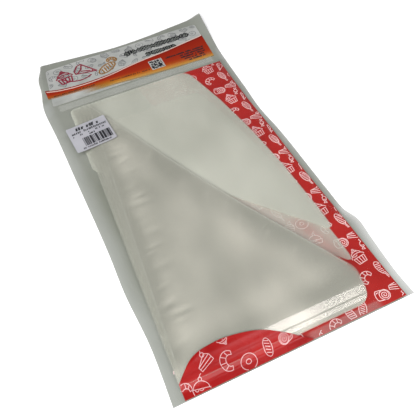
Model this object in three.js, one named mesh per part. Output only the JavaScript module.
// A retail pack of disposable piping bags: ten flat clear bags in a clear film pouch with a printed header.
// Units are millimetres. +X runs across the pack, +Y from the bottom fold to the header, +Z up off the table.
// Films, inks and bags are modelled a little thicker than life, and every two layers keep a gap of GAP.

import * as THREE from 'three';

// ---- driving dimensions ----

const PACK_LENGTH = 410; // bottom fold to header edge
const FILM = 0.4; // pouch film
const INK = 0.2; // printed layers, tape and label
const BAG = 0.2; // one flattened bag
const GAP = 0.3; // air between layers that lie on each other

const HINGE_Y = 321; // crease where the front film's lip begins
const LIP_EDGE_Y = 334; // free edge of the lip
const HEADER_PRINT_LOW_Y = 335.5;
const HEADER_PRINT_HIGH_Y = 396;

const INK_Z = FILM + GAP; // inks and tape on the back film
const STACK_Z = INK_Z + INK + GAP; // underside of the lowest bag
const BAG_PITCH = BAG + GAP;
const BAGS_PER_GROUP = 5;
const MARGIN_Z = STACK_Z; // underside of the front film along its welded edges
const ROOF_Z = STACK_Z + 2 * BAGS_PER_GROUP * BAG_PITCH; // underside of the front film over the bags

const LEFT_WELD = 3; // width of the welded edge strips
const RIGHT_WELD = 2.5;
const LEFT_SHOULDER = 6.5; // run over which the front film climbs from its weld to the roof
const RIGHT_SHOULDER = 10;
const FOLD_SHOULDER = 7;

// The pouch's two long edges, from the bottom fold up: [x, y].
const LEFT_EDGE = [
  [-100.5, 0], [-99.5, 48], [-102.8, 95], [-103, 135], [-104.2, 175], [-106.5, 230], [-108.5, 285], [-111, 325],
  [-110.5, 342], [-107, 362], [-105.5, 380], [-99, 400],
];
const RIGHT_EDGE = [
  [101.5, 0], [100, 22], [101, 55], [102, 76], [96.6, 92], [95.6, 115], [94.8, 150], [94.2, 180], [93, 205],
  [90.5, 236], [91.5, 270], [92, 300], [93, 335], [95, 362], [97, 382], [100, 410],
];
const TOP_EDGE = [[-99, 400], [-92, 407], [-45, 402], [5, 400], [55, 404], [100, 410]];

// ---- geometry helpers ----

const toVectors = (points) => points.map(([x, y]) => new THREE.Vector2(x, y));

// The x of an edge at a height y, by straight steps between the edge's points.
function edgeX(edge, y) {
  const last = edge.length - 1;
  if (y <= edge[0][1]) return edge[0][0];
  if (y >= edge[last][1]) return edge[last][0];
  const i = edge.findIndex((point) => point[1] >= y);
  const [x0, y0] = edge[i - 1];
  const [x1, y1] = edge[i];
  return x0 + ((x1 - x0) * (y - y0)) / (y1 - y0);
}

// A polygon whose corners are rounded: each corner is [x, y, radius].
function roundedOutline(corners) {
  const shape = new THREE.Shape();
  corners.forEach(([x, y, radius], i) => {
    const corner = new THREE.Vector2(x, y);
    const before = new THREE.Vector2(...corners.at(i - 1).slice(0, 2)).sub(corner).setLength(radius);
    const after = new THREE.Vector2(...corners[(i + 1) % corners.length].slice(0, 2)).sub(corner).setLength(radius);
    const from = corner.clone().add(before);
    const to = corner.clone().add(after);
    if (i === 0) shape.moveTo(from.x, from.y);
    else shape.lineTo(from.x, from.y);
    shape.quadraticCurveTo(x, y, to.x, to.y);
  });
  shape.closePath();
  return shape;
}

function flatSheet(shape, z, thickness) {
  const geometry = new THREE.ExtrudeGeometry(shape, { depth: thickness, bevelEnabled: false, curveSegments: 4 });
  return geometry.translate(0, 0, z);
}

// A closed sheet over a grid of columns and rows: place(i, j) gives [x, y, z of the underside].
function gridSheet(columns, rows, thickness, place) {
  const positions = [];
  const index = [];
  for (const lift of [0, thickness]) {
    for (let j = 0; j <= rows; j += 1) {
      for (let i = 0; i <= columns; i += 1) {
        const [x, y, z] = place(i, j);
        positions.push(x, y, z + lift);
      }
    }
  }
  const layer = (columns + 1) * (rows + 1);
  const at = (i, j, top) => top * layer + j * (columns + 1) + i;
  const quad = (a, b, c, d) => index.push(a, b, c, a, c, d);
  for (let j = 0; j < rows; j += 1) {
    for (let i = 0; i < columns; i += 1) {
      quad(at(i, j, 1), at(i + 1, j, 1), at(i + 1, j + 1, 1), at(i, j + 1, 1));
      quad(at(i, j, 0), at(i, j + 1, 0), at(i + 1, j + 1, 0), at(i + 1, j, 0));
    }
  }
  for (let i = 0; i < columns; i += 1) {
    quad(at(i, 0, 0), at(i + 1, 0, 0), at(i + 1, 0, 1), at(i, 0, 1));
    quad(at(i + 1, rows, 0), at(i, rows, 0), at(i, rows, 1), at(i + 1, rows, 1));
  }
  for (let j = 0; j < rows; j += 1) {
    quad(at(0, j + 1, 0), at(0, j, 0), at(0, j, 1), at(0, j + 1, 1));
    quad(at(columns, j, 0), at(columns, j + 1, 0), at(columns, j + 1, 1), at(columns, j, 1));
  }
  const geometry = new THREE.BufferGeometry();
  geometry.setAttribute('position', new THREE.Float32BufferAttribute(positions, 3));
  geometry.setIndex(index);
  geometry.computeVertexNormals();
  return geometry;
}

// 0 at the foot of a shoulder, 1 at its top, with a soft bend at both ends.
const shoulder = (t) => THREE.MathUtils.smoothstep(t, 0, 1);

// Underside of the front film at a point of the pack.
function frontFilmZ(x, y) {
  const fromLeft = x - edgeX(LEFT_EDGE, y) - LEFT_WELD;
  const fromRight = edgeX(RIGHT_EDGE, y) - RIGHT_WELD - x;
  const sides = shoulder(fromLeft / LEFT_SHOULDER) * shoulder(fromRight / RIGHT_SHOULDER);
  return MARGIN_Z + (ROOF_Z - MARGIN_Z) * sides * shoulder(y / FOLD_SHOULDER);
}

// ---- materials ----

const clearFilm = (color) => new THREE.MeshStandardMaterial({
  color, roughness: 0.12, metalness: 0, transparent: true, opacity: 0.35,
});
const ink = (color) => new THREE.MeshStandardMaterial({ color, roughness: 0.35, metalness: 0 });

function piece(name, geometry, material) {
  const mesh = new THREE.Mesh(geometry, material);
  mesh.name = name;
  return mesh;
}

// ---- pouch ----

// The back wall runs from the bottom fold to the header's edge, so the header is part of it.
function makeBackFilm() {
  const shape = new THREE.Shape();
  shape.moveTo(...LEFT_EDGE[0]);
  shape.lineTo(...RIGHT_EDGE[0]);
  shape.splineThru(toVectors(RIGHT_EDGE.slice(1)));
  shape.splineThru(toVectors([...TOP_EDGE].reverse().slice(1)));
  shape.splineThru(toVectors([...LEFT_EDGE].reverse().slice(1)));
  return piece('pouch_back_film', flatSheet(shape, 0, FILM), clearFilm(0xb8bbb3));
}

// The front wall rises from its welded edges over the bags and ends at the lip's crease.
function makeFrontFilm() {
  const shoulderSteps = 8;
  const roofColumns = 6;
  const leftSteps = Array.from({ length: shoulderSteps + 1 }, (_, i) => LEFT_WELD + (LEFT_SHOULDER * i) / shoulderSteps);
  const rightSteps = Array.from({ length: shoulderSteps + 1 }, (_, i) => RIGHT_WELD + (RIGHT_SHOULDER * i) / shoulderSteps);
  const foldRows = Array.from({ length: shoulderSteps + 1 }, (_, i) => (FOLD_SHOULDER * i) / shoulderSteps);
  const edgeRows = [...LEFT_EDGE, ...RIGHT_EDGE].map(([, y]) => y).filter((y) => y > FOLD_SHOULDER && y < HINGE_Y);
  const pocketRows = [...new Set(edgeRows)].sort((a, b) => a - b).concat(HINGE_Y - GAP / 2);
  const rowsY = [...foldRows, ...pocketRows];
  const columnsX = (y) => {
    const left = edgeX(LEFT_EDGE, y);
    const right = edgeX(RIGHT_EDGE, y);
    const roofLeft = left + leftSteps.at(-1);
    const roofRight = right - rightSteps.at(-1);
    const roof = Array.from({ length: roofColumns - 1 }, (_, i) => roofLeft + ((roofRight - roofLeft) * (i + 1)) / roofColumns);
    return [left, ...leftSteps.map((s) => left + s), ...roof, ...rightSteps.map((s) => right - s).reverse(), right];
  };
  const columns = columnsX(0).length - 1;
  const geometry = gridSheet(columns, rowsY.length - 1, FILM, (i, j) => {
    const x = columnsX(rowsY[j])[i];
    return [x, rowsY[j], frontFilmZ(x, rowsY[j])];
  });
  return piece('pouch_front_film', geometry, clearFilm(0xc4c7c0));
}

// The lip is the strip of front film above the crease. It folds up to open the pocket's mouth.
function makeLip() {
  const inset = LEFT_WELD + LEFT_SHOULDER;
  const left = edgeX(LEFT_EDGE, HINGE_Y) + inset;
  const right = edgeX(RIGHT_EDGE, HINGE_Y) - RIGHT_WELD - RIGHT_SHOULDER;
  const outline = roundedOutline([
    [left, HINGE_Y + GAP / 2, 0.5],
    [right, HINGE_Y + GAP / 2, 0.5],
    [right, LIP_EDGE_Y, 3],
    [left, LIP_EDGE_Y, 3],
  ]);
  return piece('pouch_lip', flatSheet(outline, ROOF_Z, FILM), clearFilm(0xd0d3cc));
}

function makeClosureTape() {
  const outline = roundedOutline([[-96, 324, 1], [80, 324, 1], [80, 333, 1], [-96, 333, 1]]);
  return piece('closure_tape', flatSheet(outline, INK_Z, INK), clearFilm(0xdedfd8));
}

// ---- printed layers ----

function makeHeaderPrint() {
  const outline = roundedOutline([
    [-101, HEADER_PRINT_LOW_Y, 2],
    [84, HEADER_PRINT_LOW_Y, 2],
    [87, HEADER_PRINT_HIGH_Y, 4],
    [-95, HEADER_PRINT_HIGH_Y, 6],
  ]);
  return piece('header_print', flatSheet(outline, INK_Z, INK), ink(0xa9aaa4));
}

// The print fills the back wall's right side and foot. Its left border is a long wave that the bags cover.
function makeBackPrint() {
  const shape = new THREE.Shape();
  shape.moveTo(-92, 1);
  shape.lineTo(95, 1);
  shape.splineThru(toVectors([[93.4, 30], [91.5, 85], [88.5, 150], [87.5, 210], [85.8, 255], [85.5, HINGE_Y]]));
  shape.lineTo(-14, HINGE_Y);
  shape.splineThru(toVectors([[-4, 250], [2, 180], [-6, 120], [-34, 70], [-66, 40], [-92, 24]]));
  shape.closePath();
  return piece('back_print', flatSheet(shape, INK_Z, INK), ink(0xb02028));
}

// A hill-shaped patch of the same red print on the outside of the front film, at the bottom left corner.
function makeFrontPrint() {
  const crest = new THREE.SplineCurve(toVectors([[-91, 12], [-76, 24.5], [-58, 28.5], [-38, 27], [-17, 20.5], [0, 10], [12, 2]]));
  const columns = 18;
  const foldRows = 8; // close rows up the fold's shoulder
  const roofRows = 4; // wider rows from there to the crest
  const lowY = 0.6;
  const geometry = gridSheet(columns, foldRows + roofRows, INK, (i, j) => {
    const top = crest.getPoint(i / columns);
    const bendY = Math.min(FOLD_SHOULDER, lowY + 0.6 * (top.y - lowY));
    const y = j <= foldRows
      ? THREE.MathUtils.lerp(lowY, bendY, j / foldRows)
      : THREE.MathUtils.lerp(bendY, top.y, (j - foldRows) / roofRows);
    return [top.x, y, frontFilmZ(top.x, y) + FILM + GAP];
  });
  return piece('front_print', geometry, ink(0xb02028));
}

function makeBarcodeLabel() {
  const halfWidth = 20.5;
  const halfHeight = 17.8;
  const corner = 2.5;
  const outline = roundedOutline([
    [-halfWidth, -halfHeight, corner],
    [halfWidth, -halfHeight, corner],
    [halfWidth, halfHeight, corner],
    [-halfWidth, halfHeight, corner],
  ]);
  const mesh = piece('barcode_label', flatSheet(outline, 0, INK), ink(0xe6e6ea));
  mesh.position.set(-76.5, 272.5, ROOF_Z + FILM + GAP);
  mesh.rotation.z = THREE.MathUtils.degToRad(5);
  return mesh;
}

// ---- bags ----

// Every bag is a flattened cone: a tip of about 33 degrees and two long legs. The bags are longer than the
// pocket, so the mouth end is turned under and the outline stops at that turn.

// Front group: tips at the header end, mouths at the bottom fold, with a long leg that sags a little.
function frontBagOutline(tipX, shiftX, shiftY) {
  return roundedOutline([
    [tipX + shiftX, 319, 3],
    [-90.5 + shiftX, 9 + shiftY, 4],
    [66 + shiftX, 9 + shiftY, 8],
    [71 + shiftX, 35 + shiftY, 6],
    [3.5 + shiftX, 158 + shiftY, 60],
  ]);
}

// Rear group: tips at the lower right, mouths at the header end, with a full right leg that bows outwards.
function rearBagOutline(shiftX, shiftY) {
  const shape = new THREE.Shape();
  const x = (value) => value + shiftX;
  const y = (value) => value + shiftY;
  shape.moveTo(x(-84), y(262));
  shape.lineTo(x(73), y(80));
  shape.quadraticCurveTo(x(77), y(76), x(77.5), y(82));
  shape.lineTo(x(77.3), y(100));
  shape.quadraticCurveTo(x(73.4), y(218), x(48), y(308));
  shape.quadraticCurveTo(x(45), y(319), x(35), y(319));
  shape.lineTo(x(-80), y(319));
  shape.quadraticCurveTo(x(-86), y(319), x(-86), y(313));
  shape.lineTo(x(-86), y(266));
  shape.closePath();
  return shape;
}

// The two rearmost bags of the rear group have slipped down, so they show past the others' long leg.
const SLIPPED_BAGS = 2;
const SLIP = -33;

// The front group's tips spread like a fan: the top one is here, and each one below it lies further left.
const TOP_TIP_X = -69;
const TIP_STEP = 3.5;

function makeBags() {
  const bags = [];
  for (let i = 0; i < 2 * BAGS_PER_GROUP; i += 1) {
    const inGroup = i % BAGS_PER_GROUP;
    const fan = 0.8 * (inGroup - (BAGS_PER_GROUP - 1) / 2); // neighbours lie a little out of line
    const slip = inGroup < SLIPPED_BAGS ? SLIP : 0;
    const tipX = TOP_TIP_X - TIP_STEP * (BAGS_PER_GROUP - 1 - inGroup);
    const outline = i < BAGS_PER_GROUP
      ? rearBagOutline(-1.5 + 0.6 * fan, slip)
      : frontBagOutline(tipX, 0.5 * fan, 0.5 * fan);
    const geometry = flatSheet(outline, STACK_Z + i * BAG_PITCH, BAG);
    bags.push(piece(`piping_bag_${i + 1}`, geometry, clearFilm(0xa5a89c)));
  }
  return bags;
}

// ---- assembly ----

const pack = new THREE.Group();
pack.add(
  makeBackFilm(),
  makeFrontFilm(),
  makeLip(),
  makeClosureTape(),
  makeHeaderPrint(),
  makeBackPrint(),
  makeFrontPrint(),
  makeBarcodeLabel(),
  ...makeBags(),
);

// The origin is the middle of the pack's footprint, on the surface it lies on.
const footprint = new THREE.Box3().setFromObject(pack);
const middle = footprint.getCenter(new THREE.Vector3());
pack.position.set(-middle.x, -middle.y, -footprint.min.z);

export default pack;
